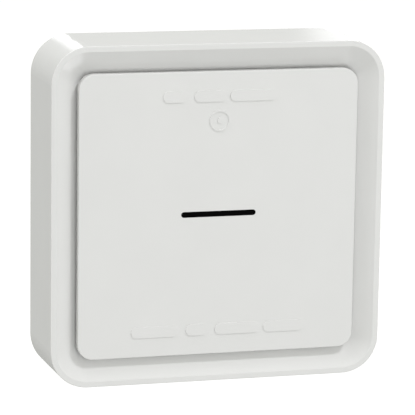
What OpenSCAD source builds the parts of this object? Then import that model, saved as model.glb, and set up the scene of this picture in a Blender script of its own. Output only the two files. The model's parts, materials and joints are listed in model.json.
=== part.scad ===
// Square wall-mounted carbon monoxide alarm with a floating test plate.
// The alarm is drawn lying on its back: x to the right, y up the wall, z out of the wall.
// on_wall() then stands it up, so that z of the drawing is the direction away from the wall.

/* [Case] */
// Width and height of the case at its front rim
case_w = 100; // [99:0.5:104]
// Distance from the wall to the front rim
case_d = 26.4; // [26.4:0.1:30]
// Corner radius of the front rim, seen from the front
case_r = 11; // [11:0.5:12]
// How much wider the case is at its back edge than at its rim
case_draft = 1; // [0.4:0.1:1.4]
// Width of the flat rim
rim_w = 1.64; // [1.2:0.02:1.8]
// Slope of the dish inside the rim, from the plane of the rim
dish_angle = 30; // [28:0.5:31]
// Depth of the dish's flat floor below the rim
dish_d = 4.8; // [4.6:0.1:4.9]
// Thickness of the case's walls
wall_t = 1.9; // [1.6:0.1:2.1]

/* [Test plate] */
// Width and height of the plate
plate_w = 83.8; // [83:0.01:85]
// Corner radius of the plate
plate_r = 4.6; // [4:0.1:6]
// How far the plate's face lies below the rim
plate_sink = 0.4; // [0.35:0.01:0.9]
// Thickness of the plate
plate_t = 1.5; // [1.4:0.05:1.6]
// Length of the slot for the light
slot_l = 22.6; // [18:0.1:24]
// Width of the slot for the light
slot_w = 1.7; // [1.4:0.1:2]
// Height of the raised marks on the plate's face
mark_h = 0.25; // [0.08:0.01:0.3]

/* [Wall bracket] */
// Outer radius of the bracket's locking flange
bracket_r = 42.5; // [42:0.1:42.6]
// Diameter of the circle of wall screw holes
holes_pcd = 60; // [50:1:64]
// Diameter of one wall screw hole
hole_d = 4.4; // [3.6:0.1:5]

/* [Electronics] */
// Diameter of the lithium cell
cell_d = 14.5; // [14:0.1:14.6]
// Length of the lithium cell
cell_l = 50.5; // [48:0.5:50.5]
// Thickness of the circuit board
board_t = 1.6; // [1.2:0.1:1.6]
// Diameter of the carbon monoxide sensor
sensor_d = 19.8; // [18:0.1:20]
// Diameter of the brass sounder disc
disc_d = 27; // [25:0.5:27]

/* [Hidden] */
$fn = 96;

eps = 0.01;                               // overlap that joins or cuts cleanly
running_gap = 0.05;                       // radial gap of a pin that turns
fit_gap = 0.15;                           // gap between parts that nest
wall_gap = 0.4;                           // gap between the wall and the case

// Case, seen in section: distances are from the centre line
half_w = case_w / 2;
corner_c = half_w - case_r;               // centre of every corner of the case
rim_in = half_w - rim_w;
dish_top = case_d - dish_d;               // face of the dish's floor
dish_in = rim_in - dish_d / tan(dish_angle);
deck_t = 1.6;
deck_under = dish_top - deck_t;
slope_t = 1.7;                            // thickness under the dish's slope
skin_in_front = half_w - wall_t + 0.05;
skin_in_back = half_w + case_draft / 2 - wall_t;
edge_r = 0.2;                             // rounding of the case's front edge
lip_r = 0.3;                              // rounding of the rim's inner edge

// Test plate
plate_half = plate_w / 2;
plate_c = plate_half - plate_r;
plate_top = case_d - plate_sink;
plate_under = plate_top - plate_t;
skirt_z = case_d - 2.6;                   // lowest edge of the plate's skirt
skirt_t = 1.2;
plate_edge_r = 0.25;

// Hinge of the test plate
hinge_x = 26;
hinge_y = 36;
hinge_z = dish_top - 3.1;
hinge_places = [-hinge_x, hinge_x];
hinge_pin_r = 0.8;
lug_t = 2.4;
lug_r = 2.3;
cheek_t = 1.8;
cheek_gap = 0.6;                          // side gap between a lug and a cheek
lug_room = 0.8;                           // gap above and below a lug in its opening
pin_l = lug_t + 2 * (cheek_gap + cheek_t);

// Hooks that hold the plate's lower edge
hook_x = 30;
hook_y = -36;
hook_w = 5;
hook_t = 1.2;
hook_catch = 1.8;
hook_z = deck_under - 1.7;
hook_under = 0.1;                         // gap between a hook and the dish's floor above it
hook_slot_w = hook_w + 1.2;
hook_slot_h = 2.8;

// Return springs
spring_x = 30;
spring_y = -14;
spring_r = 2.3;                           // mean radius of the coil
wire_r = 0.22;
spring_turns = 6;
cup_r = 3.1;
cup_wall = 1;
cup_floor = dish_top - 6;
spring_peg_h = 1.3;                       // peg on the plate that centres the spring
spring_peg_gap = 0.2;

// Test switch
switch_y = -14;
plunger_r = 1.75;
plunger_top = dish_top - 3.9;
press_gap = 0.05;                         // play between the plate's post and the plunger
press_post_r = 2;
press_hole_r = 3;                         // hole in the dish's floor that the post passes
switch_w = 6;
switch_h = 3.5;

// Circuit board and what stands on it
board_back = 6.6;
board_front = board_back + board_t;
board_half = 43;
board_low = -19;
board_high = 36.5;
boss_r = 2.6;
boss_top = deck_under + 0.75 * deck_t;    // reaches into the dish's floor and slope
boss_bore = 7;
board_screw_r = 1.1;
board_screw_l = board_t + 6;
board_head_r = 2;
board_head_h = 1.4;
board_hole_gap = 0.3;
boss_places = [[-40, 31], [40, 31], [-40, -14], [40, -14]];

// Rear cover
rear_z = 0.5;
rear_t = 1.6;
lip_h = 7;                                // height of the lip that nests in the case
lip_t = 1.4;
recess_r = 43.5;
recess_z = 3.1;
recess_t = 1.5;
floor_z = recess_z + recess_t;            // inner face of the floor
post_r = 3.2;
post_xy = 41.5;
post_z = 4;
post_gap = 0.05;                          // gap between a post of the case and the rear cover's boss
case_post_places = [for (x = [-post_xy, post_xy]) for (y = [-post_xy, post_xy]) [x, y]];
case_screw_r = 1.4;
case_screw_l = 9;                         // length of the shank, and depth of its bore
case_head_r = 2.7;
case_head_h = 1.6;
counterbore_z = 2.3;

// Bayonet between the rear cover and the wall bracket
bayonet_count = 4;
bayonet_angle = 45;                       // middle of the first hook, with the alarm locked
bayonet_turn = 15;
bayonet_half = 5;                         // half the angle that a hook spans
bayonet_in = 38.5;
bayonet_t = 0.8;
bayonet_notch_half = 6.5;
flange_z = 1.6;
flange_t = 1.2;
bracket_t = 2;
bracket_disc_r = 37;
bayonet_stop_half = 1.25;                 // half the angle of a stop, beside each hook
front_rib_r = 20;
front_rib_h = 0.6;
rib_w = 1.2;
pocket_depth = 0.9;                       // pockets in the face that meets the wall
pocket_rings = [[11, 21.4], [22.6, 34.4]];
pocket_count = 12;
hole_boss_r = 5.2;                        // full thickness round every wall screw

// Sensor
sensor_x = 24;
sensor_y = 18;
sensor_r = sensor_d / 2;
sensor_h = 8.4;
sensor_z = board_front + 0.4;
sensor_top = sensor_z + sensor_h;
cap_r = sensor_r + 0.2;
cap_h = 1.4;
inlet_r = 1.5;                            // hole in the cap that the gas enters by
port_r = 3.8;                             // circle of the holes in the dish over the port
port_hole_r = 1.1;
sensor_pin_r = 0.5;
sensor_pin_places = [[0, 7], [-6, -4], [6, -4]];

// Sounder
horn_x = -24;
horn_y = 17;
horn_r = disc_d / 2 + 1.5;
disc_r = disc_d / 2;
disc_z = board_front + 4.15;
disc_t = 0.25;
ceramic_t = 0.15;

// Radio module
radio_x = 34;
radio_y = -2;
radio_board_t = 0.8;

// Lithium cell and its cradle
cell_y = -31;
cell_r = cell_d / 2;
sleeve_t = 0.15;
cradle_floor_t = 0.5;
cell_z = floor_z + cradle_floor_t + cell_r;
cradle_l = 48;
cradle_wall = 1;
cradle_h = 8;

// Light guide, between the lamps on the board and the slot in the plate
lamp_x = 6;                               // distance between the lamps
guide_sink = 0.12;                        // how far its face lies below the plate's
guide_gap = 0.03;
guide_flange = [25.6, 5, 1];
guide_stem = [20, 2.4];
guide_low = board_front + 3.4;
guide_hole = [28, 6];                     // opening in the dish's floor

// Raised marks on the plate: [x of the middle, length]
mark_d = 3.2;
upper_marks_y = 34.7;
upper_marks = [[-13.6, 7], [-3, 9.6], [10, 14]];
lower_marks_y = -34.5;
lower_marks = [[-19, 14], [-6.4, 6.2], [6, 13.4], [20.4, 12.4]];
ring_y = 27.5;
ring_r = 3.1;
ring_t = 0.45;
ring_dot_r = 0.8;

white = [0.88, 0.88, 0.87];
white_inside = [0.8, 0.8, 0.79];
steel = [0.75, 0.75, 0.76];
board_green = [0.09, 0.33, 0.2];
black = [0.05, 0.05, 0.05];

// ---- helpers ----

module on_wall() { rotate([90, 0, 0]) children(); }

function unit(v) = v / norm(v);

// Points of the arc that rounds the corner at b, between the lines to a and to c
function rounded(a, b, c, r, steps = 6) =
    let (
        u = unit(a - b),
        v = unit(c - b),
        half = acos(u * v) / 2,
        m = b + unit(u + v) * r / sin(half),
        s = b + u * r / tan(half) - m,
        e = b + v * r / tan(half) - m,
        from = atan2(s.y, s.x),
        turn = (atan2(e.y, e.x) - from + 540) % 360 - 180
    )
    [for (i = [0:steps]) m + r * [cos(from + turn * i / steps), sin(from + turn * i / steps)]];

// Carries a profile of [distance from the centre line, height] round a square with corner centres at c
module around(profile, c) {
    shifted = [for (p = profile) [p.x - c, p.y]];
    for (turn = [0:90:270]) rotate([0, 0, turn]) {
        translate([c, c, 0]) rotate_extrude(angle = 90) polygon(shifted);
        translate([c, c, 0]) rotate([90, 0, 0]) linear_extrude(2 * c) polygon(shifted);
    }
}

module slab(half, z, t) { translate([-half, -half, z]) cube([2 * half, 2 * half, t]); }

module block(x, y, z, w, h, t) { translate([x - w / 2, y - h / 2, z]) cube([w, h, t]); }

module post(x, y, z, r, h) { translate([x, y, z]) cylinder(r = r, h = h); }

// A flat bar with round ends, along x
module bar(x, y, z, l, d, t) {
    block(x, y, z, l - d, d, t);
    for (side = [-1, 1]) post(x + side * (l - d) / 2, y, z, d / 2, t);
}

module tube(x, y, z, r_out, r_in, h) {
    difference() {
        post(x, y, z, r_out, h);
        post(x, y, z - eps, r_in, h + 2 * eps);
    }
}

// A piece of a flat ring, centred on an angle
module sector(angle, half, r_in, r_out, z, t) {
    rotate([0, 0, angle - half]) rotate_extrude(angle = 2 * half)
        translate([r_in, z]) square([r_out - r_in, t]);
}

// A rod along x, centred on x
module along_x(x, y, z, r, l) { translate([x - l / 2, y, z]) rotate([0, 90, 0]) cylinder(r = r, h = l); }

module hole_group(x, y, z, h) {
    post(x, y, z, port_hole_r, h);
    for (turn = [0:60:300])
        post(x + port_r * cos(turn), y + port_r * sin(turn), z, port_hole_r, h);
}

// ---- case ----

function case_outline() =
    let (
        back = [half_w + case_draft / 2, wall_gap],
        edge = [half_w, case_d],
        rim = [rim_in, case_d],
        foot = [dish_in, dish_top]
    )
    concat([back], rounded(back, edge, rim, edge_r), rounded(edge, rim, foot, lip_r), [foot]);

// Underside of the dish's slope, at a distance from the centre line
function slope_under(x) =
    case_d - slope_t / cos(dish_angle) - (rim_in - x) * tan(dish_angle);

function slope_meets(z) = rim_in - (case_d - slope_t / cos(dish_angle) - z) / tan(dish_angle);

module case_envelope() {
    around(concat(case_outline(), [[corner_c, dish_top], [corner_c, wall_gap]]), corner_c);
    slab(corner_c, wall_gap, dish_top - wall_gap);
}

module case_shell() {
    inside = [
        [slope_meets(deck_under), deck_under],
        [skin_in_front, slope_under(skin_in_front)],
        [skin_in_back, wall_gap]
    ];
    floor_edge = [[corner_c, dish_top], [corner_c, deck_under]];
    around(concat(case_outline(), floor_edge, inside), corner_c);
    slab(corner_c, deck_under, deck_t);
}

module case_posts() {
    intersection() {
        case_envelope();
        for (p = case_post_places) post(p.x, p.y, post_z, post_r, case_d);
    }
    for (p = boss_places) post(p.x, p.y, board_front, boss_r, boss_top - board_front);
    for (x = [-spring_x, spring_x])
        post(x, spring_y, cup_floor - cup_wall, cup_r + cup_wall, deck_under + eps - cup_floor + cup_wall);
    for (x = hinge_places) for (side = [-1, 1])
        block(x + side * (lug_t / 2 + cheek_gap + cheek_t / 2), hinge_y, hinge_z - lug_r,
            cheek_t, 2 * lug_r, deck_under + eps - hinge_z + lug_r);
}

module case_cuts() {
    low = deck_under - 1;
    through = deck_t + 3;
    for (p = case_post_places) post(p.x, p.y, post_z - eps, case_screw_r, case_screw_l);
    for (p = boss_places) post(p.x, p.y, board_front - eps, board_screw_r, boss_bore);
    for (x = [-spring_x, spring_x]) post(x, spring_y, cup_floor, cup_r, dish_top - cup_floor + 1);
    for (x = hinge_places) {
        block(x, hinge_y, low, lug_t + 2 * cheek_gap, 2 * (lug_r + lug_room), through);
        along_x(x, hinge_y, hinge_z, hinge_pin_r, pin_l + 2);
    }
    for (x = [-hook_x, hook_x]) block(x, hook_y, low, hook_slot_w, hook_slot_h, through);
    bar(0, 0, low, guide_hole.x, guide_hole.y, through);
    post(0, switch_y, low, press_hole_r, through);
    hole_group(sensor_x, sensor_y, low, through);
    hole_group(horn_x, horn_y, low, through);
}

module front_cover() {
    color(white) on_wall() difference() {
        union() {
            case_shell();
            case_posts();
        }
        case_cuts();
    }
}

module rear_cover() {
    skin = function (z) skin_in_back
        - (skin_in_back - skin_in_front) * (z - wall_gap) / (slope_under(skin_in_front) - wall_gap);
    lip = [
        [corner_c, rear_z], [skin(rear_z) - fit_gap, rear_z], [skin(lip_h) - fit_gap, lip_h],
        [skin(lip_h) - fit_gap - lip_t, lip_h], [skin(lip_h) - fit_gap - lip_t, rear_z + rear_t],
        [corner_c, rear_z + rear_t]
    ];
    color(white_inside) on_wall() difference() {
        union() {
            difference() {
                union() {
                    around(lip, corner_c);
                    slab(corner_c, rear_z, rear_t);
                    post(0, 0, rear_z, recess_r + rear_t, floor_z - rear_z);
                    for (p = case_post_places)
                        post(p.x, p.y, rear_z, post_r + 1, post_z - rear_z - post_gap);
                }
                post(0, 0, -1, recess_r, recess_z + 1);
            }
            for (i = [0:bayonet_count - 1])
                sector(bayonet_angle + i * 360 / bayonet_count, bayonet_half,
                    bayonet_in, recess_r + 0.5, rear_z, bayonet_t);
        }
        for (p = case_post_places) {
            post(p.x, p.y, -1, case_head_r + fit_gap, counterbore_z + 1);
            post(p.x, p.y, -1, case_screw_r + fit_gap, 10);
        }
    }
}

// A screw driven away from the wall, with a cross recess in its head
module screw(x, y, z, head_r, head_h, shank_r, l) {
    recess_half = head_r * 0.55;
    recess_w = 0.5;
    recess_depth = head_h * 0.6;
    difference() {
        union() {
            post(x, y, z, head_r, head_h);
            post(x, y, z + head_h - eps, shank_r, l + eps);
        }
        block(x, y, z - eps, 2 * recess_half, recess_w, recess_depth);
        block(x, y, z - eps, recess_w, 2 * recess_half, recess_depth);
    }
}

module cover_screws() {
    color(steel) on_wall()
        for (p = case_post_places)
            screw(p.x, p.y, counterbore_z - case_head_h,
                case_head_r, case_head_h, case_screw_r, case_screw_l);
}

module rating_label() {
    label_t = 0.12;
    color([0.93, 0.93, 0.9]) on_wall() block(0, 0, recess_z - label_t, 44, 26, label_t);
}

// ---- test plate ----

module plate_shell() {
    foot = [plate_half, skirt_z];
    edge = [plate_half, plate_top];
    inner = [plate_c, plate_top];
    around(concat(
        [[plate_half - skirt_t, skirt_z], foot],
        rounded(foot, edge, inner, plate_edge_r),
        [inner, [plate_c, plate_under], [plate_half - skirt_t, plate_under]]
    ), plate_c);
    slab(plate_c, plate_under, plate_t);
}

module marks() {
    for (m = upper_marks) bar(m[0], upper_marks_y, plate_top - eps, m[1], mark_d, mark_h + eps);
    for (m = lower_marks) bar(m[0], lower_marks_y, plate_top - eps, m[1], mark_d, mark_h + eps);
    tube(0, ring_y, plate_top - eps, ring_r, ring_r - ring_t, mark_h + eps);
    post(0, ring_y, plate_top - eps, ring_dot_r, mark_h + eps);
}

module plate_lugs() {
    for (x = hinge_places) {
        block(x, hinge_y, hinge_z, lug_t, 2 * lug_r, plate_under + eps - hinge_z);
        along_x(x, hinge_y, hinge_z, lug_r, lug_t);
    }
}

module plate_hooks() {
    catch_t = deck_under - hook_under - hook_z;
    for (x = [-hook_x, hook_x]) {
        block(x, hook_y, hook_z, hook_w, hook_t, plate_under + eps - hook_z);
        block(x, hook_y - hook_t / 2 - hook_catch / 2, hook_z, hook_w, hook_catch + eps, catch_t);
    }
}

module test_plate() {
    press_z = plunger_top + press_gap;
    color(white) on_wall() difference() {
        union() {
            plate_shell();
            marks();
            plate_lugs();
            plate_hooks();
            post(0, switch_y, press_z, press_post_r, plate_under + eps - press_z);
            for (x = [-spring_x, spring_x])
                post(x, spring_y, plate_under - spring_peg_h, spring_r - wire_r - spring_peg_gap,
                    spring_peg_h + eps);
        }
        bar(0, 0, plate_under - 1, slot_l, slot_w, plate_t + 2);
        for (x = hinge_places)
            along_x(x, hinge_y, hinge_z, hinge_pin_r + running_gap, lug_t + 2);
    }
}

module light_guide() {
    flange_z = plate_under - guide_flange.z;
    color(black) on_wall() {
        bar(0, 0, plate_under - eps, slot_l - 2 * guide_gap, slot_w - 2 * guide_gap,
            plate_t - guide_sink + eps);
        bar(0, 0, flange_z, guide_flange.x, guide_flange.y, guide_flange.z);
        bar(0, 0, guide_low, guide_stem.x, guide_stem.y, flange_z + eps - guide_low);
    }
}

module hinge_pins() {
    color(steel) on_wall()
        for (x = hinge_places) along_x(x, hinge_y, hinge_z, hinge_pin_r, pin_l);
}

// A round wire wound into a compression spring with closed ends
module coil_spring(low, high) {
    sides = 6;
    per_turn = 12;
    rings = spring_turns * per_turn;
    flat = 0.7;                           // turns that lie nearly flat at either end
    flat_pitch = 1.4 * wire_r;
    rise = high - low - 2 * wire_r - 2 * flat * flat_pitch;
    climb = function (t) min(max((t - flat) / (spring_turns - 2 * flat), 0), 1);
    height = function (t) low + wire_r + climb(t) * rise
        + (min(t, flat) + max(t - spring_turns + flat, 0)) * flat_pitch;
    points = [for (i = [0:rings]) for (j = [0:sides - 1])
        let (
            turn = 360 * i / per_turn,
            around_wire = 360 * j / sides,
            r = spring_r + wire_r * cos(around_wire)
        )
        [r * cos(turn), r * sin(turn), height(i / per_turn) + wire_r * sin(around_wire)]];
    skin = [for (i = [0:rings - 1]) for (j = [0:sides - 1])
        let (k = (j + 1) % sides)
        [i * sides + j, i * sides + k, (i + 1) * sides + k, (i + 1) * sides + j]];
    start = [for (j = [sides - 1:-1:0]) j];
    end = [for (j = [0:sides - 1]) rings * sides + j];
    polyhedron(points = points, faces = concat(skin, [start, end]));
}

module return_springs() {
    color(steel) on_wall()
        for (x = [-spring_x, spring_x]) translate([x, spring_y, 0]) coil_spring(cup_floor, plate_under);
}

// ---- circuit board ----

module circuit_board() {
    color(board_green) on_wall() difference() {
        translate([-board_half, board_low, board_back])
            cube([2 * board_half, board_high - board_low, board_t]);
        for (p = boss_places) post(p.x, p.y, 0, board_screw_r + board_hole_gap, 20);
        for (p = sensor_pin_places) post(sensor_x + p.x, sensor_y + p.y, 0, sensor_pin_r + running_gap, 20);
    }
}

module board_screws() {
    color(steel) on_wall()
        for (p = boss_places)
            screw(p.x, p.y, board_back - board_head_h,
                board_head_r, board_head_h, board_screw_r, board_screw_l);
}

module sensor_body() {
    bead_z = sensor_z + 1;
    color(steel) on_wall() {
        post(sensor_x, sensor_y, sensor_z, sensor_r, sensor_h);
        tube(sensor_x, sensor_y, bead_z, sensor_r + 0.15, sensor_r - 1, 0.8);
    }
}

module sensor_cap() {
    groove_depth = 0.4;
    color(white_inside) on_wall() difference() {
        post(sensor_x, sensor_y, sensor_top, cap_r, cap_h);
        post(sensor_x, sensor_y, sensor_top - 1, inlet_r, cap_h + 2);
        tube(sensor_x, sensor_y, sensor_top + cap_h - groove_depth, 6.6, 5.6, 1);
    }
}

module sensor_gasket() {
    z = sensor_top + cap_h;
    color(black) on_wall() tube(sensor_x, sensor_y, z, 9, 7.1, deck_under - z);
}

module sensor_pins() {
    solder_l = 1;                         // length that stands out behind the board
    color([0.83, 0.68, 0.32]) on_wall()
        for (p = sensor_pin_places)
            post(sensor_x + p.x, sensor_y + p.y, board_back - solder_l, sensor_pin_r,
                sensor_z - board_back + solder_l);
}

module insect_screen() {
    screen_t = 0.2;
    pitch = 1.3;
    opening = 0.8;
    color(steel) on_wall() difference() {
        post(sensor_x, sensor_y, deck_under - screen_t, 6.9, screen_t);
        for (i = [-4:4]) for (j = [-4:4]) if (norm([i, j]) < 4.5)
            block(sensor_x + i * pitch, sensor_y + j * pitch, deck_under - 1, opening, opening, 2);
    }
}

module battery_cell() {
    cap_l = 1.2;
    cap_r = 2.8;
    body_l = cell_l - cap_l;
    color(steel) on_wall() {
        along_x(-cap_l / 2, cell_y, cell_z, cell_r - sleeve_t, body_l);
        along_x((cell_l - cap_l - eps) / 2, cell_y, cell_z, cap_r, cap_l + eps);
    }
}

module battery_sleeve() {
    bare_end = 0.6;
    sleeve_l = cell_l - 4 * bare_end;
    x = (sleeve_l - cell_l) / 2 + bare_end;
    color([0.1, 0.25, 0.5]) on_wall() difference() {
        along_x(x, cell_y, cell_z, cell_r, sleeve_l);
        along_x(x, cell_y, cell_z, cell_r - sleeve_t, sleeve_l + 2);
    }
}

// Each tab is a strip on one end of the cell that turns and lies on the board
module battery_tabs() {
    strip_t = 0.25;
    strip_w = 4;
    foot_h = 3;
    foot = [board_low + 3, cell_y - strip_w / 2];
    color([0.8, 0.79, 0.74]) on_wall() for (side = [-1, 1]) {
        x = side * (cell_l + strip_t) / 2;
        block(x, cell_y, board_front, strip_t, strip_w, cell_z + strip_w / 2 - board_front);
        block(x, (foot[0] + foot[1]) / 2, board_front, strip_t, foot[0] - foot[1], foot_h);
        block(x + side * strip_w / 2, foot[0] - strip_w / 2, board_front, strip_w + 0.2, strip_w, strip_t);
    }
}

module battery_cradle() {
    width = cell_d + 2 * (cradle_wall + running_gap);
    window_w = 12;
    color(white_inside) on_wall() difference() {
        block(0, cell_y, floor_z, cradle_l, width, cradle_h);
        along_x(0, cell_y, cell_z, cell_r + running_gap, 2 * cell_l);
        for (x = [-12, 12]) block(x, cell_y, floor_z + 3, window_w, width + 2, cradle_h);
    }
}

// The horn holds the disc's edge under a ledge, with a chamber above it and one outlet
module sounder_horn() {
    height = deck_under - board_front;
    ledge_z = disc_z + disc_t;
    ledge_t = 0.8;
    ledge_w = 1.4;
    roof_t = 1.4;
    outlet_r = 5.4;
    color(black) on_wall() difference() {
        post(horn_x, horn_y, board_front, horn_r, height);
        post(horn_x, horn_y, board_front - 1, disc_r + fit_gap, ledge_z - board_front + 1);
        post(horn_x, horn_y, board_front, disc_r - ledge_w, ledge_z + ledge_t - board_front);
        post(horn_x, horn_y, ledge_z + ledge_t - eps, disc_r - 0.6, deck_under - roof_t - ledge_z - ledge_t);
        post(horn_x, horn_y, deck_under - 3, outlet_r, 6);
    }
}

module sounder_disc() { color([0.83, 0.66, 0.3]) on_wall() post(horn_x, horn_y, disc_z, disc_r, disc_t); }

module sounder_ceramic() {
    ceramic_r = disc_r * 0.74;
    color([0.9, 0.88, 0.82]) on_wall() post(horn_x, horn_y, disc_z - ceramic_t, ceramic_r, ceramic_t);
}

module sounder_contacts() {
    contact_r = 0.6;
    edge_x = 11.4;
    color(steel) on_wall() {
        post(horn_x, horn_y, board_front, contact_r, disc_z - ceramic_t - board_front);
        for (x = [-edge_x, edge_x]) post(horn_x + x, horn_y, board_front, contact_r, disc_z - board_front);
    }
}

module test_switch_body() {
    color(black) on_wall() difference() {
        union() {
            block(0, switch_y, board_front, switch_w, switch_w, switch_h);
            for (x = [-3.6, 3.6]) for (y = [-2.2, 2.2]) block(x, switch_y + y, board_front, 1.4, 0.7, 0.3);
        }
        post(0, switch_y, board_front + 1, plunger_r + 0.1, switch_h);
    }
}

module test_switch_plunger() {
    low = board_front + 1.7;
    color([0.85, 0.85, 0.83]) on_wall() post(0, switch_y, low, plunger_r, plunger_top - low);
}

module status_lamps() {
    base_t = 1;
    color([0.95, 0.95, 0.9]) on_wall() for (x = [-lamp_x, 0, lamp_x]) {
        block(x, 0, board_front, 3.2, 2.8, base_t);
        post(x, 0, board_front + base_t - eps, 1.1, 0.8);
    }
}

// The radio board's two long edges have half-round plated notches
module radio_board() {
    width = 15;
    height = 14;
    notch_r = 0.4;
    color([0.05, 0.25, 0.45]) on_wall() difference() {
        block(radio_x, radio_y, board_front, width, height, radio_board_t);
        for (side = [-1, 1]) for (y = [-5:2:5])
            post(radio_x + side * width / 2, radio_y + y, 0, notch_r, 20);
    }
}

module radio_shield() {
    z = board_front + radio_board_t;
    y = radio_y - 0.5;
    width = 12;
    height = 11;
    rise = 2;
    skin = 0.3;
    color(steel) on_wall() difference() {
        block(radio_x, y, z, width, height, rise);
        block(radio_x, y, z - 1, width - 2 * skin, height - 2 * skin, rise + 1 - skin);
    }
}

module antenna_wire() {
    wire = 0.5;
    x = 38;
    low = 7;
    high = 26;
    z = board_front + 3;
    color([0.72, 0.45, 0.3]) on_wall() {
        post(x, low, board_front, wire, z - board_front);
        translate([x, low, z]) sphere(r = wire, $fn = 32);
        translate([x, high, z]) rotate([90, 0, 0]) cylinder(r = wire, h = high - low);
    }
}

module microcontroller() {
    x = 16;
    y = -9;
    body_w = 7;
    lead = [1.2, 0.3, 0.2];
    lead_pitch = 0.8;
    lead_x = 3.9;
    color(black) on_wall() {
        block(x, y, board_front + 0.1, body_w, body_w, 1);
        for (side = [-1, 1]) for (i = [-3:3]) {
            block(x + side * lead_x, y + i * lead_pitch, board_front, lead[0], lead[1], lead[2]);
            block(x + i * lead_pitch, y + side * lead_x, board_front, lead[1], lead[0], lead[2]);
        }
    }
}

module capacitors() {
    base_w = 5.6;
    base_t = 0.6;
    color([0.2, 0.2, 0.24]) on_wall() for (x = [-14, -21]) {
        block(x, -13, board_front, base_w, base_w, base_t);
        post(x, -13, board_front + base_t - eps, 2.5, 6.4);
    }
}

// The wound coil that drives the sounder, on a drum core
module driver_coil() {
    x = 3;
    y = 20;
    end_r = 3.2;
    end_t = 0.9;
    winding_r = 2.6;
    winding_h = 3.2;
    color([0.3, 0.2, 0.14]) on_wall() {
        post(x, y, board_front, winding_r, 2 * end_t + winding_h);
        for (z = [0, end_t + winding_h]) post(x, y, board_front + z, end_r, end_t);
    }
}

module chip_components() {
    color([0.55, 0.45, 0.35]) on_wall() {
        for (x = [10:3:22]) block(x, -2.6, board_front, 1.6, 0.8, 0.5);
        for (x = [-5:3:10]) block(x, 6, board_front, 0.8, 1.6, 0.5);
        for (y = [11:3:30]) block(-4, y, board_front, 1.6, 0.8, 0.5);
        for (x = [-30:3:-9]) block(x, -4, board_front, 0.8, 1.6, 0.6);
        for (y = [27, 31]) for (x = [0, 4]) block(x, y, board_front, 2, 1.25, 0.7);
        for (x = [6, 10, 20]) block(x, -16.6, board_front, 3.2, 1.6, 0.9);
    }
}

module pin_header() {
    x = -36;
    y = -4;
    base_w = 2.5;
    pin_w = 0.64;
    pin_h = 6;
    color(black) on_wall() {
        block(x, y, board_front, base_w, 5 * base_w, base_w);
        for (i = [-2:2])
            block(x, y + i * base_w, board_front + base_w - eps, pin_w, pin_w, pin_h);
    }
}

// ---- wall bracket ----

// Rings of shallow pockets between ribs, so that the bracket bears on its rim, ribs and bosses
module wall_side_pockets() {
    difference() {
        for (ring = pocket_rings) tube(0, 0, -eps, ring[1], ring[0], pocket_depth + eps);
        for (i = [0:pocket_count - 1]) rotate([0, 0, (i + 0.5) * 360 / pocket_count])
            translate([0, -rib_w / 2, -1]) cube([bracket_disc_r, rib_w, 3]);
        for (i = [0:bayonet_count - 1]) rotate([0, 0, i * 360 / bayonet_count])
            post(holes_pcd / 2, 0, -1, hole_boss_r, 3);
    }
}

module wall_bracket() {
    stop_angle = bayonet_angle - bayonet_half - 1.4 * bayonet_stop_half;
    color(white_inside) on_wall() difference() {
        union() {
            post(0, 0, 0, bracket_disc_r, bracket_t);
            tube(0, 0, flange_z, bracket_r, bracket_disc_r - 1, flange_t);
            tube(0, 0, bracket_t - eps, front_rib_r + rib_w, front_rib_r, front_rib_h);
            for (i = [0:bayonet_count - 1])
                sector(stop_angle + i * 360 / bayonet_count, bayonet_stop_half,
                    bracket_disc_r - 0.5, bracket_r, 0, flange_z + eps);
        }
        wall_side_pockets();
        for (i = [0:bayonet_count - 1]) {
            turn = i * 360 / bayonet_count;
            sector(bayonet_angle + bayonet_turn + turn, bayonet_notch_half,
                bracket_disc_r + 0.8, bracket_r + 2, -1, 6);
            rotate([0, 0, turn]) post(holes_pcd / 2, 0, -1, hole_d / 2, 6);
        }
    }
}

front_cover();
test_plate();
light_guide();
hinge_pins();
return_springs();
rear_cover();
cover_screws();
circuit_board();
board_screws();
sensor_body();
sensor_cap();
sensor_gasket();
sensor_pins();
insect_screen();
battery_cell();
battery_sleeve();
battery_tabs();
battery_cradle();
sounder_disc();
sounder_ceramic();
sounder_horn();
sounder_contacts();
test_switch_body();
test_switch_plunger();
status_lamps();
radio_board();
radio_shield();
antenna_wire();
microcontroller();
driver_coil();
capacitors();
chip_components();
pin_header();
rating_label();
wall_bracket();
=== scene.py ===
"""Looks of a square wall-mounted carbon monoxide alarm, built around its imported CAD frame."""
import json
import math

import bpy
import bmesh
from mathutils import Matrix, Vector


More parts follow.
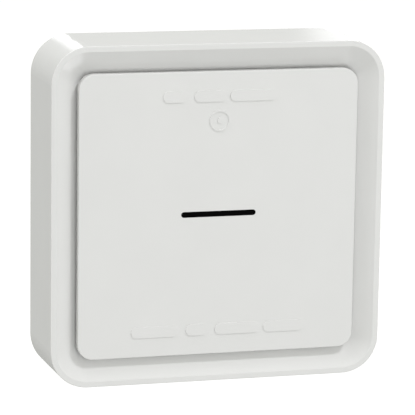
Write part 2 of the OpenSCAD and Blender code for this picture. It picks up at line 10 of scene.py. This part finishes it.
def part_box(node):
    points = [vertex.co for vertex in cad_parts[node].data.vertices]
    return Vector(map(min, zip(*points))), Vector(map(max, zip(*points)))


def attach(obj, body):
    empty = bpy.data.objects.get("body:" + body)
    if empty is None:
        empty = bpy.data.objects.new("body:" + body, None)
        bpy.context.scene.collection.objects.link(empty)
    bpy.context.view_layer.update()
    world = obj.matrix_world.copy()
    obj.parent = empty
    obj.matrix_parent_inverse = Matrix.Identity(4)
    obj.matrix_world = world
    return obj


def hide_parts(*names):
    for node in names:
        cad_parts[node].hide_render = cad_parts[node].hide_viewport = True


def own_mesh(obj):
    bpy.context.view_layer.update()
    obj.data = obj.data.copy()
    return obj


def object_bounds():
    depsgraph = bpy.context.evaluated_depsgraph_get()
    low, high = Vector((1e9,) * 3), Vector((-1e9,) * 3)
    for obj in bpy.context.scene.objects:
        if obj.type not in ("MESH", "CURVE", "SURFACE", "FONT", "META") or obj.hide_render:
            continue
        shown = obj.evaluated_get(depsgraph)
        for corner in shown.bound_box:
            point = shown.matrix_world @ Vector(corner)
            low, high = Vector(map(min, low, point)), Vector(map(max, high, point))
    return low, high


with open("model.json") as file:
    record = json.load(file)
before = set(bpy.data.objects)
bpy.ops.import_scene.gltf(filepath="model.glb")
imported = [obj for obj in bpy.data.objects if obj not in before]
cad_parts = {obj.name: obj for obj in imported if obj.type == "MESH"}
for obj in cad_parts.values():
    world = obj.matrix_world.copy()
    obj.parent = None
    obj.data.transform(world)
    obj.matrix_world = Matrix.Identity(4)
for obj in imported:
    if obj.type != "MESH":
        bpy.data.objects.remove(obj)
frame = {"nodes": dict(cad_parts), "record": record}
cad_low, cad_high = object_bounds()

MM = 0.001
OUT = Vector((0, -1, 0))  # away from the wall
SHARP_ANGLE = math.radians(25)  # corners sharper than this stay sharp in the shading

# ---------------------------------------------------------------- camera and studio

# The camera stands to the left of the alarm and a little above it, with a long lens.
CAMERA_AZIMUTH = -15.95
CAMERA_ELEVATION = 11.05
CAMERA_ROLL = 0.84
CAMERA_DISTANCE = 0.776
CAMERA_LENS = 231.0
AIM_RIGHT = -3.34 * MM
AIM_UP = 1.87 * MM

# Each softbox: name, azimuth, elevation, distance and diameter in metres, watts, share of its gloss
SOFTBOXES = [
    ("key", 38, 52, 1.2, 0.2, 4.5, 0.0),
    ("front_fill", -10, 0, 1.2, 0.7, 2.8, 1.0),
    ("side_left", -90, 0, 1.2, 0.7, 1.8, 1.0),
    ("overhead_left", -90, 70, 1.2, 0.7, 4.2, 0.3),
    ("low_right", 60, -45, 1.2, 0.7, 2.2, 1.0),
    ("plate_sheen", 17, -12, 1.2, 0.5, 0.2, 1.0),
    ("corner_glint", 177.4, 13.5, 1.2, 0.25, 0.25, 1.0),
    ("top_glint", 149, 7, 1.2, 0.5, 0.45, 1.0),
]
LAMP_COLOR = (0.985, 0.985, 1.01)
ROOM_COLOR = (0.99, 1.0, 0.955)
ROOM_LIGHT = 0.575
GROUND_LIGHT = 0.47
HORIZON_BLUR = 0.1
FLOOR_DROP = 0.4
FLOOR_SIZE = 60.0
FLOOR_GLOW = 0.55


def direction(azimuth, elevation):
    """Unit vector from the alarm towards an azimuth and elevation; azimuth 0 is straight in front."""
    turn = math.radians(azimuth)
    lift = math.radians(elevation)
    across = Vector((math.sin(turn), -math.cos(turn), 0))
    return across * math.cos(lift) + Vector((0, 0, math.sin(lift)))


def link(obj):
    bpy.context.scene.collection.objects.link(obj)
    return obj


def make_camera():
    """Aims at the middle of the front rim's plane, from the azimuth, elevation and roll above."""
    back = direction(CAMERA_AZIMUTH, CAMERA_ELEVATION)
    right = (-back).cross(Vector((0, 0, 1))).normalized()
    up = right.cross(-back)
    turn = math.radians(CAMERA_ROLL)
    right, up = (
        math.cos(turn) * right + math.sin(turn) * up,
        math.cos(turn) * up - math.sin(turn) * right,
    )
    rim_middle = Vector((0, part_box("front_cover")[0].y, 0))
    place = rim_middle + back * CAMERA_DISTANCE + right * AIM_RIGHT + up * AIM_UP
    camera = link(bpy.data.objects.new("camera", bpy.data.cameras.new("camera")))
    camera.data.lens = CAMERA_LENS
    camera.data.clip_start = 0.05
    camera.data.clip_end = 100
    camera.matrix_world = Matrix.Translation(place) @ Matrix((right, up, back)).transposed().to_4x4()
    bpy.context.scene.camera = camera


def make_softbox(name, azimuth, elevation, distance, diameter, watts, gloss):
    light = bpy.data.lights.new(name, "AREA")
    light.shape = "DISK"
    light.size = diameter
    light.energy = watts
    light.color = LAMP_COLOR
    light.specular_factor = gloss
    box = link(bpy.data.objects.new(name, light))
    towards = direction(azimuth, elevation)
    box.location = towards * distance
    box.rotation_mode = "QUATERNION"
    box.rotation_quaternion = towards.to_track_quat("Z", "Y")
    box.visible_camera = False


def make_world():
    """A plain room, a little darker below than above; it shows as white behind the alarm."""
    world = bpy.data.worlds.new("room")
    bpy.context.scene.world = world
    world.use_nodes = True
    nodes = world.node_tree.nodes
    links = world.node_tree.links
    split = nodes.new("ShaderNodeSeparateXYZ")
    links.new(nodes.new("ShaderNodeTexCoord").outputs["Generated"], split.inputs[0])
    level = nodes.new("ShaderNodeMapRange")
    level.inputs["From Min"].default_value = -HORIZON_BLUR
    level.inputs["From Max"].default_value = HORIZON_BLUR
    level.inputs["To Min"].default_value = GROUND_LIGHT
    level.inputs["To Max"].default_value = ROOM_LIGHT
    links.new(split.outputs["Z"], level.inputs["Value"])
    lit = nodes["Background"]
    lit.inputs["Color"].default_value = (*ROOM_COLOR, 1)
    links.new(level.outputs["Result"], lit.inputs["Strength"])
    seen = nodes.new("ShaderNodeBackground")
    seen.inputs["Color"].default_value = (1, 1, 1, 1)
    path = nodes.new("ShaderNodeLightPath")
    mix = nodes.new("ShaderNodeMixShader")
    links.new(path.outputs["Is Camera Ray"], mix.inputs[0])
    links.new(lit.outputs[0], mix.inputs[1])
    links.new(seen.outputs[0], mix.inputs[2])
    links.new(mix.outputs[0], nodes["World Output"].inputs["Surface"])


def make_floor():
    """A pale floor, lit to paper white. The room's lower half stands for the light it throws back."""
    mesh = bpy.data.meshes.new("floor")
    half = FLOOR_SIZE / 2
    corners = [(-half, -half, 0), (half, -half, 0), (half, half, 0), (-half, half, 0)]
    mesh.from_pydata(corners, [], [(0, 1, 2, 3)])
    floor = link(bpy.data.objects.new("floor", mesh))
    floor.location.z = cad_low.z - FLOOR_DROP
    floor.visible_diffuse = False
    floor.visible_glossy = False
    floor.visible_shadow = False
    look = Look("pale_floor", (0.9, 0.9, 0.9), 0.9)
    look.set("Emission Color", (1, 1, 1, 1))
    look.set("Emission Strength", FLOOR_GLOW)
    look.material.cycles.emission_sampling = "NONE"
    mesh.materials.append(look.material)


# ---------------------------------------------------------------- materials


class Look:
    """A Principled material, with the shorthand that wires procedural detail into it.

    Sizes and depths are in millimetres. Patterns are laid out in the object's own coordinates.
    """

    def __init__(self, name, color, roughness, metallic=0.0, ior=1.5):
        self.material = bpy.data.materials.new(name)
        self.material.use_nodes = True
        self.nodes = self.material.node_tree.nodes
        self.links = self.material.node_tree.links
        self.shader = self.nodes["Principled BSDF"]
        self.color = color
        self.set("Base Color", (*color, 1))
        self.set("Roughness", roughness)
        self.set("Metallic", metallic)
        self.set("IOR", ior)
        self.normal = None

    def set(self, name, value):
        self.shader.inputs[name].default_value = value

    def coordinates(self, stretch=(1, 1, 1)):
        mapping = self.nodes.new("ShaderNodeMapping")
        mapping.inputs["Scale"].default_value = stretch
        self.links.new(self.nodes.new("ShaderNodeTexCoord").outputs["Object"], mapping.inputs["Vector"])
        return mapping.outputs["Vector"]

    def noise(self, size, detail=2, stretch=(1, 1, 1)):
        """A cloud of about 0.3 to 0.7, with features of this size."""
        texture = self.nodes.new("ShaderNodeTexNoise")
        texture.inputs["Scale"].default_value = 1 / (size * MM)
        texture.inputs["Detail"].default_value = detail
        self.links.new(self.coordinates(stretch), texture.inputs["Vector"])
        return texture.outputs["Fac"]

    def cells(self, size, output="Distance", distance="EUCLIDEAN"):
        """Cells of about this size: the distance from their middles, or one random colour each."""
        texture = self.nodes.new("ShaderNodeTexVoronoi")
        texture.distance = distance
        texture.inputs["Scale"].default_value = 1 / (size * MM)
        self.links.new(self.coordinates(), texture.inputs["Vector"])
        return texture.outputs[output]

    def rings(self, size, axis="Z"):
        """Parallel bands of this width along an axis, from 0 to 1."""
        texture = self.nodes.new("ShaderNodeTexWave")
        texture.bands_direction = axis
        texture.inputs["Scale"].default_value = math.pi / (10 * size * MM)
        self.links.new(self.coordinates(), texture.inputs["Vector"])
        return texture.outputs["Fac"]

    def ramp(self, value, low, high):
        """Stretches a value so that low becomes 0 and high becomes 1."""
        node = self.nodes.new("ShaderNodeMapRange")
        node.inputs["From Min"].default_value = low
        node.inputs["From Max"].default_value = high
        self.links.new(value, node.inputs["Value"])
        return node.outputs["Result"]

    def blend(self, share, first, second):
        """Goes from the first value to the second as the share goes from 0 to 1."""
        node = self.nodes.new("ShaderNodeMix")
        self.links.new(share, node.inputs["Factor"])
        for socket, value in (("A", first), ("B", second)):
            if isinstance(value, float):
                node.inputs[socket].default_value = value
            else:
                self.links.new(value, node.inputs[socket])
        return node.outputs["Result"]

    def tint(self, value, low, high):
        """Colours the surface from low to high. With None for low it goes over the last tint."""
        mix = self.nodes.new("ShaderNodeMix")
        mix.data_type = "RGBA"
        self.links.new(value, mix.inputs["Factor"])
        base = self.shader.inputs["Base Color"]
        if low is None:
            self.links.new(base.links[0].from_socket, mix.inputs["A"])
        else:
            mix.inputs["A"].default_value = (*low, 1)
        mix.inputs["B"].default_value = (*high, 1)
        self.links.new(mix.outputs["Result"], base)

    def cloud(self, size, spread):
        """Lets the colour drift by this share, up and down."""
        light = [min(c * (1 + spread), 1) for c in self.color]
        dark = [c * (1 - spread) for c in self.color]
        self.tint(self.ramp(self.noise(size, 3), 0.3, 0.7), dark, light)

    def gloss(self, value, low, high):
        """Lets the roughness go from low to high as the value goes from 0 to 1."""
        node = self.nodes.new("ShaderNodeMapRange")
        node.inputs["To Min"].default_value = low
        node.inputs["To Max"].default_value = high
        self.links.new(value, node.inputs["Value"])
        self.links.new(node.outputs["Result"], self.shader.inputs["Roughness"])

    def bump(self, height, depth):
        """Adds relief of this depth on top of the relief that is there."""
        node = self.nodes.new("ShaderNodeBump")
        node.inputs["Distance"].default_value = depth * MM
        self.links.new(height, node.inputs["Height"])
        if self.normal:
            self.links.new(self.normal, node.inputs["Normal"])
        self.normal = node.outputs["Normal"]
        self.links.new(self.normal, self.shader.inputs["Normal"])


def gloss_white():
    """Polished moulded ABS, with the faint waviness that a cooled skin keeps."""
    look = Look("case_white", (0.80, 0.80, 0.79), 0.12)
    look.cloud(14, 0.008)
    look.gloss(look.noise(6), 0.11, 0.14)
    look.bump(look.noise(5, 1), 0.002)
    return look.material


def inner_white():
    """The same plastic with a fine spark-eroded grain, on faces that are not seen on the wall."""
    look = Look("inner_white", (0.72, 0.72, 0.70), 0.46)
    look.cloud(11, 0.02)
    look.gloss(look.noise(0.9), 0.4, 0.54)
    look.bump(look.noise(0.55, 3), 0.012)
    return look.material


def smoked_lens():
    look = Look("smoked_lens", (0.0015, 0.0015, 0.0015), 0.5)
    look.set("Specular IOR Level", 0.02)
    look.cloud(3, 0.2)
    look.gloss(look.noise(0.8), 0.44, 0.56)
    return look.material


def bright_steel():
    """Plated steel with drawn lines along the wall's normal and a little clouding."""
    look = Look("bright_steel", (0.62, 0.62, 0.63), 0.28, metallic=1.0)
    look.cloud(2.5, 0.06)
    lines = look.noise(0.35, 3, stretch=(1, 0.06, 1))
    look.gloss(lines, 0.2, 0.4)
    look.bump(lines, 0.003)
    return look.material


def solder_mask(name, color, track):
    """Solder mask over copper: bundles of straight tracks show lighter and stand a little proud."""
    look = Look(name, color, 0.34)
    look.cloud(6, 0.08)
    patches = look.cells(8, output="Color", distance="CHEBYCHEV")
    upright = look.ramp(patches, 0.5, 0.501)
    lines = look.blend(upright, look.rings(1.3, "X"), look.rings(1.3, "Z"))
    crossed = look.cells(5.5, output="Color", distance="CHEBYCHEV")
    tracks = look.blend(look.ramp(crossed, 0.42, 0.421), 0.0, look.ramp(lines, 0.72, 0.8))
    look.tint(tracks, None, track)
    look.gloss(look.noise(0.5), 0.28, 0.4)
    look.bump(tracks, 0.03)
    return look.material


def black_plastic():
    look = Look("black_plastic", (0.025, 0.025, 0.027), 0.42)
    look.cloud(4, 0.2)
    look.gloss(look.noise(0.7), 0.36, 0.5)
    look.bump(look.noise(0.3, 3), 0.006)
    return look.material


def capacitor_sleeve():
    look = Look("capacitor_sleeve", (0.03, 0.03, 0.05), 0.25)
    look.cloud(2, 0.25)
    look.gloss(look.noise(0.8), 0.2, 0.32)
    look.bump(look.noise(1.4), 0.01)
    return look.material


def seal_rubber():
    """Closed-cell foam."""
    look = Look("seal_rubber", (0.03, 0.03, 0.03), 0.85)
    pores = look.cells(0.35)
    look.tint(pores, (0.012, 0.012, 0.012), (0.05, 0.05, 0.05))
    look.gloss(look.noise(0.6), 0.78, 0.92)
    look.bump(pores, 0.05)
    return look.material


def gold_brass():
    look = Look("gold_brass", (0.78, 0.57, 0.22), 0.26, metallic=1.0)
    look.cloud(3, 0.1)
    lines = look.noise(0.25, 2, stretch=(1, 1, 0.08))
    look.gloss(lines, 0.2, 0.36)
    look.bump(lines, 0.002)
    return look.material


def copper():
    """Bare and enamelled copper, with the draw marks of a wire."""
    look = Look("copper", (0.72, 0.38, 0.24), 0.28, metallic=1.0)
    look.cloud(1.5, 0.12)
    look.gloss(look.noise(0.3), 0.2, 0.38)
    look.bump(look.noise(0.2, 2), 0.002)
    return look.material


def ceramic():
    """Fired ceramic under a thin silvered face."""
    look = Look("ceramic", (0.78, 0.74, 0.64), 0.5)
    look.cloud(1.2, 0.08)
    look.gloss(look.noise(0.4), 0.42, 0.6)
    look.bump(look.cells(0.12), 0.003)
    return look.material


def cell_sleeve():
    """Heat-shrunk film, with ripples round the cell where it tightened."""
    look = Look("cell_sleeve", (0.04, 0.10, 0.28), 0.22)
    look.cloud(6, 0.1)
    look.gloss(look.noise(1.5), 0.17, 0.28)
    look.bump(look.noise(2.2, 2, stretch=(2.5, 1, 1)), 0.03)
    return look.material


def chip_parts():
    look = Look("chip_parts", (0.30, 0.22, 0.14), 0.45)
    look.tint(look.noise(2.5, 1), (0.16, 0.12, 0.09), (0.46, 0.34, 0.22))
    look.gloss(look.noise(0.3), 0.38, 0.54)
    look.bump(look.noise(0.15, 2), 0.003)
    return look.material


def lamp_clear():
    look = Look("lamp_clear", (0.85, 0.85, 0.78), 0.16)
    look.set("Transmission Weight", 0.35)
    look.cloud(0.8, 0.06)
    look.gloss(look.noise(0.4), 0.12, 0.22)
    return look.material


def label_paper():
    """A blank film label: paper fibres under a satin coat."""
    look = Look("label_paper", (0.90, 0.90, 0.88), 0.5)
    fibres = look.noise(0.25, 4, stretch=(0.3, 1, 1))
    look.tint(fibres, (0.86, 0.86, 0.84), (0.92, 0.92, 0.90))
    look.gloss(fibres, 0.42, 0.58)
    look.bump(fibres, 0.004)
    return look.material


def make_materials():
    """One material for each material slot of the record."""
    return {
        "case_white": gloss_white(),
        "inner_white": inner_white(),
        "smoked_lens": smoked_lens(),
        "bright_steel": bright_steel(),
        "board_green": solder_mask("board_green", (0.03, 0.19, 0.10), (0.07, 0.31, 0.17)),
        "board_blue": solder_mask("board_blue", (0.02, 0.07, 0.20), (0.05, 0.13, 0.32)),
        "black_plastic": black_plastic(),
        "capacitor_sleeve": capacitor_sleeve(),
        "seal_rubber": seal_rubber(),
        "gold_brass": gold_brass(),
        "copper": copper(),
        "ceramic": ceramic(),
        "cell_sleeve": cell_sleeve(),
        "chip_parts": chip_parts(),
        "lamp_clear": lamp_clear(),
        "label_paper": label_paper(),
    }


def finish_nodes(materials):
    """Gives every CAD node its slot's material. Rounds read as smooth, and flats stay flat."""
    for part in frame["record"]["subparts"]:
        node = frame["nodes"][part["node"]]
        node.data.materials.clear()
        node.data.materials.append(materials[part["material_slot"]])
        node.data.shade_smooth()
        node.data.set_sharp_from_angle(angle=SHARP_ANGLE)
        weighted = node.modifiers.new("weighted", "WEIGHTED_NORMAL")
        weighted.weight = 100
        weighted.keep_sharp = True


# ---------------------------------------------------------------- pieces


def make_piece(name, bm, body, material, replaces=()):
    bmesh.ops.recalc_face_normals(bm, faces=bm.faces)
    mesh = bpy.data.meshes.new(name)
    bm.to_mesh(mesh)
    bm.free()
    mesh.shade_smooth()
    mesh.set_sharp_from_angle(angle=SHARP_ANGLE)
    mesh.materials.append(material)
    piece = link(bpy.data.objects.new(name, mesh))
    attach(piece, body)
    if replaces:
        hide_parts(*replaces)
    return piece


def spoke(turn, radius):
    """From an axis along OUT to a point this many millimetres away, at this turn in radians."""
    return Vector((math.cos(turn), 0, math.sin(turn))) * radius * MM


def skin_rings(bm, rings, closed=False):
    """Joins rings of vertices, each to the next, with faces."""
    pairs = list(zip(rings, rings[1:]))
    if closed:
        pairs.append((rings[-1], rings[0]))
    for a, b in pairs:
        for i in range(len(a)):
            j = (i + 1) % len(a)
            bm.faces.new((a[i], a[j], b[j], b[i]))


def turned_rings(bm, profile, centre, segments):
    """Rings of vertices: the profile's (radius, height) points, in millimetres, go round centre."""
    rings = []
    for radius, height in profile:
        ring = []
        for i in range(segments):
            arm = spoke(2 * math.pi * i / segments, radius)
            ring.append(bm.verts.new(centre + arm + OUT * height * MM))
        rings.append(ring)
    return rings


def skin_closed(bm, rings):
    """Joins the rings and closes both ends."""
    skin_rings(bm, rings)
    bm.faces.new(rings[0])
    bm.faces.new(rings[-1])


def turned(bm, profile, centre, segments=32):
    """A turned form, closed at both ends of its profile."""
    skin_closed(bm, turned_rings(bm, profile, centre, segments))


def tube(bm, points, radius, sides=10):
    """A round wire along points in metres; radius is in millimetres."""
    rings = []
    last = len(points) - 1
    for i, point in enumerate(points):
        along = (points[min(i + 1, last)] - points[max(i - 1, 0)]).normalized()
        side = along.cross(OUT)
        if side.length < 0.05:
            side = along.cross(Vector((1, 0, 0)))
        side.normalize()
        up = side.cross(along)
        ring = []
        for k in range(sides):
            turn = 2 * math.pi * k / sides
            ring.append(bm.verts.new(point + (side * math.cos(turn) + up * math.sin(turn)) * radius * MM))
        rings.append(ring)
    skin_closed(bm, rings)


def box_size(node):
    low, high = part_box(node)
    return low, high, high - low


def middle(low, high, depth):
    """The middle of a box as seen from the front, at this depth along Y."""
    return Vector(((low.x + high.x) / 2, depth, (low.z + high.z) / 2))


def corner_centres(node, radius):
    """Centres of four round things of this radius, whose node's box they fill."""
    low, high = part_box(node)
    inset = radius * MM
    return [
        Vector((x, high.y, z))
        for x in (low.x + inset, high.x - inset)
        for z in (low.z + inset, high.z - inset)
    ]


# Return springs, in millimetres and turns
WIRE_RADIUS = 0.22
SPRING_TURNS = 6
FLAT_TURNS = 0.7  # closed turns at each end
FLAT_PITCH = 1.4 * WIRE_RADIUS
STEPS_PER_TURN = 32

# Screws: piece, CAD node, head radius and height, shank radius and thread pitch, in millimetres
SCREWS = [
    ("cover_screws_threaded", "cover_screws", 2.7, 1.6, 1.4, 1.0),
    ("board_screws_threaded", "board_screws", 2.0, 1.4, 1.1, 0.8),
]
HEAD_ROUNDING = 0.45  # share of the head's height
HEAD_STEP = 0.03
CROSS_REACH = 0.55  # shares of the head's radius
CROSS_WIDTH = 0.22
CROSS_DEPTH = 0.62  # share of the head's height
THREAD_DEPTH = 0.16  # share of the shank's radius
THREAD_SIDES = 24
STEPS_PER_PITCH = 8

# Insect screen, in millimetres
SCREEN_RING = 0.6
SCREEN_PITCH = 0.55

# Driver coil, in millimetres
COIL_END = 0.9
COIL_CORE = 2.5
COIL_CREST = 2.85
COIL_WIRE = 0.11

# Small parts on the board, in millimetres
TERMINAL_PROUD = 0.03
TERMINAL_SHARE = 0.24  # of a chip component's length, at each end
TERMINAL_BEVEL = 0.04
SOLDER_SPREAD = 0.75
SOLDER_HEIGHT = 0.8
CAN_RADIUS = 2.15
CAN_RIM = 0.15
CAN_LIFT = 0.12
VENT_RADIUS = 0.05
DOME_RADIUS = 1.05
DOME_HEIGHT = 0.7  # share of the dome's radius


def make_return_springs(material):
    """Two compression springs of round wire, built at one length. On the real alarm they shorten as the
    plate is pressed.
    """
    low, high, size = box_size("return_springs")
    outer = size.z / 2
    length = size.y
    mean = outer - WIRE_RADIUS * MM
    flat_pitch = FLAT_PITCH * MM
    rise = length - 2 * WIRE_RADIUS * MM - 2 * FLAT_TURNS * flat_pitch
    level = (low.z + high.z) / 2
    bm = bmesh.new()
    for x in (low.x + outer, high.x - outer):
        points = []
        for i in range(SPRING_TURNS * STEPS_PER_TURN + 1):
            turns = i / STEPS_PER_TURN
            climb = min(max((turns - FLAT_TURNS) / (SPRING_TURNS - 2 * FLAT_TURNS), 0), 1)
            flat = min(turns, FLAT_TURNS) + max(turns - SPRING_TURNS + FLAT_TURNS, 0)
            height = WIRE_RADIUS * MM + climb * rise + flat * flat_pitch
            arm = spoke(2 * math.pi * turns, mean / MM)
            points.append(Vector((x, high.y, level)) + arm + OUT * height)
        tube(bm, points, WIRE_RADIUS)
    springs = make_piece(
        "return_spring_coils", bm, "alarm", material, ["return_springs"]
    )
    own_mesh(springs)


def cut_cross(head, centre, reach, width, depth):
    """The screw head, which faces the wall, with a tapered cross recess cut into it."""
    cutter = bmesh.new()
    half = width / 2
    corners = [(-reach, -half), (reach, -half), (reach, half), (-reach, half)]
    for across in (False, True):
        rings = []
        for height, scale in ((-0.2, 1.0), (depth, 0.55)):
            ring = []
            for u, v in corners:
                long = u * scale
                short = v * (0.5 + scale / 2)
                x, z = (short, long) if across else (long, short)
                ring.append(cutter.verts.new(centre + Vector((x, 0, z)) * MM + OUT * height * MM))
            rings.append(ring)
        skin_closed(cutter, rings)
    return taken_away(head, cutter)


def taken_away(body_form, cutter):
    """The form with the cutter's closed shells taken away. Both forms are used up."""
    objects = []
    for name, form in (("body_form", body_form), ("cutter_form", cutter)):
        bmesh.ops.recalc_face_normals(form, faces=form.faces)
        mesh = bpy.data.meshes.new(name)
        form.to_mesh(mesh)
        form.free()
        objects.append(link(bpy.data.objects.new(name, mesh)))
    body, tool = objects
    modifier = body.modifiers.new("cut", "BOOLEAN")
    modifier.object = tool
    modifier.use_self = True
    bpy.context.view_layer.update()
    evaluated = body.evaluated_get(bpy.context.evaluated_depsgraph_get())
    result = bmesh.new()
    result.from_mesh(evaluated.to_mesh())
    evaluated.to_mesh_clear()
    for obj in objects:
        mesh = obj.data
        bpy.data.objects.remove(obj)
        bpy.data.meshes.remove(mesh)
    return result


def rounded_head(radius, height, round_off):
    """Profile of a pan head from the wall side, with its edge rounded off."""
    flat = radius - round_off
    points = [(radius * 0.3, 0.0), (flat, HEAD_STEP)]
    for i in range(1, 7):
        turn = math.radians(15 * i)
        drop = round_off * (1 - math.cos(turn))
        points.append((flat + round_off * math.sin(turn), HEAD_STEP + drop))
    points.append((radius, height))
    return points


def threaded(bm, centre, radius, start, length, pitch, depth):
    """A shank whose surface rises and falls along a helix, and which ends in a blunt point."""
    steps = int(length / pitch * STEPS_PER_PITCH)
    rings = []
    for i in range(steps + 1):
        height = length * i / steps
        taper = min(1.0, 0.35 + (length - height) / (1.2 * radius))
        ring = []
        for k in range(THREAD_SIDES):
            phase = (height / pitch - k / THREAD_SIDES) % 1
            crest = 1 - abs(2 * phase - 1)
            arm = spoke(2 * math.pi * k / THREAD_SIDES, (radius - depth * (1 - crest)) * taper)
            ring.append(bm.verts.new(centre + arm + OUT * (start + height) * MM))
        rings.append(ring)
    skin_closed(bm, rings)


def make_screws(name, node, head_radius, head_height, shank_radius, pitch, material):
    """Self-tapping screws with pan heads, cross recesses and cut threads, in the places of a node."""
    length = box_size(node)[2].y / MM - head_height
    bm = bmesh.new()
    for centre in corner_centres(node, head_radius):
        head = bmesh.new()
        turned(head, rounded_head(head_radius, head_height, HEAD_ROUNDING * head_height), centre, 48)
        head = cut_cross(
            head, centre, CROSS_REACH * head_radius, CROSS_WIDTH * head_radius, CROSS_DEPTH * head_height
        )
        part = bpy.data.meshes.new("head_form")
        head.to_mesh(part)
        head.free()
        bm.from_mesh(part)
        bpy.data.meshes.remove(part)
        threaded(bm, centre, shank_radius, head_height, length, pitch, THREAD_DEPTH * shank_radius)
    make_piece(name, bm, "alarm", material, [node])


def make_insect_screen(material):
    """A woven wire screen, crimped in a thin ring over the gas port."""
    low, high, size = box_size("insect_screen")
    centre = middle(low, high, (low.y + high.y) / 2)
    outer = size.x / 2 / MM
    inner = outer - SCREEN_RING
    half_thick = size.y / MM / 2
    wire = half_thick / 2
    pitch = SCREEN_PITCH
    bm = bmesh.new()
    section = [(outer, -half_thick), (outer, half_thick), (inner, half_thick), (inner, -half_thick)]
    skin_rings(bm, turned_rings(bm, section, centre, 64), closed=True)
    reach = outer - SCREEN_RING / 2
    count = int(reach / pitch)
    for across in (False, True):
        for i in range(-count, count + 1):
            offset = i * pitch
            half = math.sqrt(reach ** 2 - offset ** 2)
            steps = max(4, int(2 * half / pitch) * 4)
            points = []
            for k in range(steps + 1):
                run = -half + 2 * half * k / steps
                weave = math.cos(math.pi * (run / pitch + i + across)) * wire
                x, z = (offset, run) if across else (run, offset)
                points.append(centre + Vector((x, 0, z)) * MM + OUT * weave * MM)
            tube(bm, points, wire * 0.9, sides=6)
    make_piece("woven_insect_screen", bm, "alarm", material, ["insect_screen"])


def make_coil_winding(material):
    """The outer layer of enamelled wire on the driver coil's drum, as rings side by side."""
    low, high, size = box_size("driver_coil")
    winding = size.y / MM - 2 * COIL_END
    turns = int(winding / (2 * COIL_WIRE))
    pitch = winding / turns
    profile = [(COIL_CORE, COIL_END)]
    for i in range(turns):
        for share in (0, 0.25, 0.5, 0.75, 1):
            bulge = math.sqrt(max(0, 1 - (2 * share - 1) ** 2)) * COIL_WIRE
            profile.append((COIL_CREST + bulge, COIL_END + (i + share * 0.98 + 0.01) * pitch))
    profile.append((COIL_CORE, COIL_END + winding))
    bm = bmesh.new()
    turned(bm, profile, middle(low, high, high.y), 36)
    make_piece("driver_coil_winding", bm, "alarm", material)


def solids(node):
    """Boxes of the separate solids in a CAD node, as (lowest, highest) corners, in mesh order."""
    bm = bmesh.new()
    bm.from_mesh(frame["nodes"][node].data)
    bmesh.ops.remove_doubles(bm, verts=bm.verts, dist=1e-6)
    seen = set()
    boxes = []
    for start in bm.verts:
        if start in seen:
            continue
        seen.add(start)
        stack = [start]
        found = []
        while stack:
            vert = stack.pop()
            found.append(vert.co.copy())
            for edge in vert.link_edges:
                other = edge.other_vert(vert)
                if other not in seen:
                    seen.add(other)
                    stack.append(other)
        lowest = Vector([min(place[i] for place in found) for i in range(3)])
        highest = Vector([max(place[i] for place in found) for i in range(3)])
        boxes.append((lowest, highest))
    bm.free()
    return boxes


def beveled_box(bm, low, high, bevel):
    made = bmesh.ops.create_cube(bm, size=1)["verts"]
    centre = (low + high) / 2
    size = high - low
    for vert in made:
        vert.co = centre + Vector([vert.co[i] * size[i] for i in range(3)])
    edges = list(dict.fromkeys(edge for vert in made for edge in vert.link_edges))
    bmesh.ops.bevel(bm, geom=edges, offset=bevel * MM, segments=2, affect="EDGES", profile=0.5)


def make_chip_terminals(material):
    """Plated ends on every chip component, a hair proud of its ceramic."""
    bm = bmesh.new()
    proud = TERMINAL_PROUD * MM
    for low, high in solids("chip_components"):
        axis = 0 if high.x - low.x > high.z - low.z else 2
        cap = TERMINAL_SHARE * (high[axis] - low[axis])
        grow = Vector((proud, proud, proud))
        for near in (True, False):
            a = low - grow
            b = high + grow
            if near:
                b[axis] = low[axis] + cap
            else:
                a[axis] = high[axis] - cap
            b.y = high.y
            beveled_box(bm, a, b, TERMINAL_BEVEL)
    make_piece("chip_terminals", bm, "alarm", material)


def make_solder_joints(material):
    """Fillets of solder behind the board, round the sensor's pins."""
    bm = bmesh.new()
    board_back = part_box("circuit_board")[1].y
    for low, high in solids("sensor_pins"):
        radius = (high.x - low.x) / 2 / MM
        profile = []
        for i in range(7):
            share = i / 6
            spread = SOLDER_SPREAD * (1 - share) ** 2
            profile.append((radius + spread + 0.02, -SOLDER_HEIGHT * share))
        turned(bm, profile, middle(low, high, board_back), 24)
    make_piece("sensor_solder", bm, "alarm", material)


def make_capacitor_tops(material):
    """Bare aluminium ends of the capacitors, with three fine ridges across each for its vent."""
    bm = bmesh.new()
    for low, high in solids("capacitors"):
        centre = middle(low, high, low.y)
        edge = [(CAN_RADIUS, 0), (CAN_RADIUS, 0.05), (CAN_RADIUS - CAN_RIM, CAN_LIFT)]
        turned(bm, [*edge, (0.4, CAN_LIFT)], centre, 40)
        top = centre + OUT * CAN_LIFT * MM
        for turn in (0, 60, 120):
            arm = spoke(math.radians(turn), 0.8 * CAN_RADIUS)
            tube(bm, [top - arm, top, top + arm], VENT_RADIUS, sides=6)
    make_piece("capacitor_tops", bm, "alarm", material)


def make_lamp_domes(material):
    """Moulded lenses on the three status lamps."""
    bm = bmesh.new()
    for low, high in solids("status_lamps"):
        profile = []
        for i in range(9):
            turn = math.radians(80 * i / 8)
            profile.append((DOME_RADIUS * math.cos(turn), DOME_HEIGHT * DOME_RADIUS * math.sin(turn)))
        turned(bm, profile, middle(low, high, low.y))
    make_piece("lamp_domes", bm, "alarm", material)


make_camera()
make_world()
make_floor()
for softbox in SOFTBOXES:
    make_softbox(*softbox)
bpy.context.scene.view_settings.view_transform = "Standard"

materials = make_materials()
finish_nodes(materials)
steel = materials["bright_steel"]
make_return_springs(steel)
for screws in SCREWS:
    make_screws(*screws, steel)
make_insect_screen(steel)
make_coil_winding(materials["copper"])
make_chip_terminals(steel)
make_solder_joints(steel)
make_capacitor_tops(steel)
make_lamp_domes(materials["lamp_clear"])
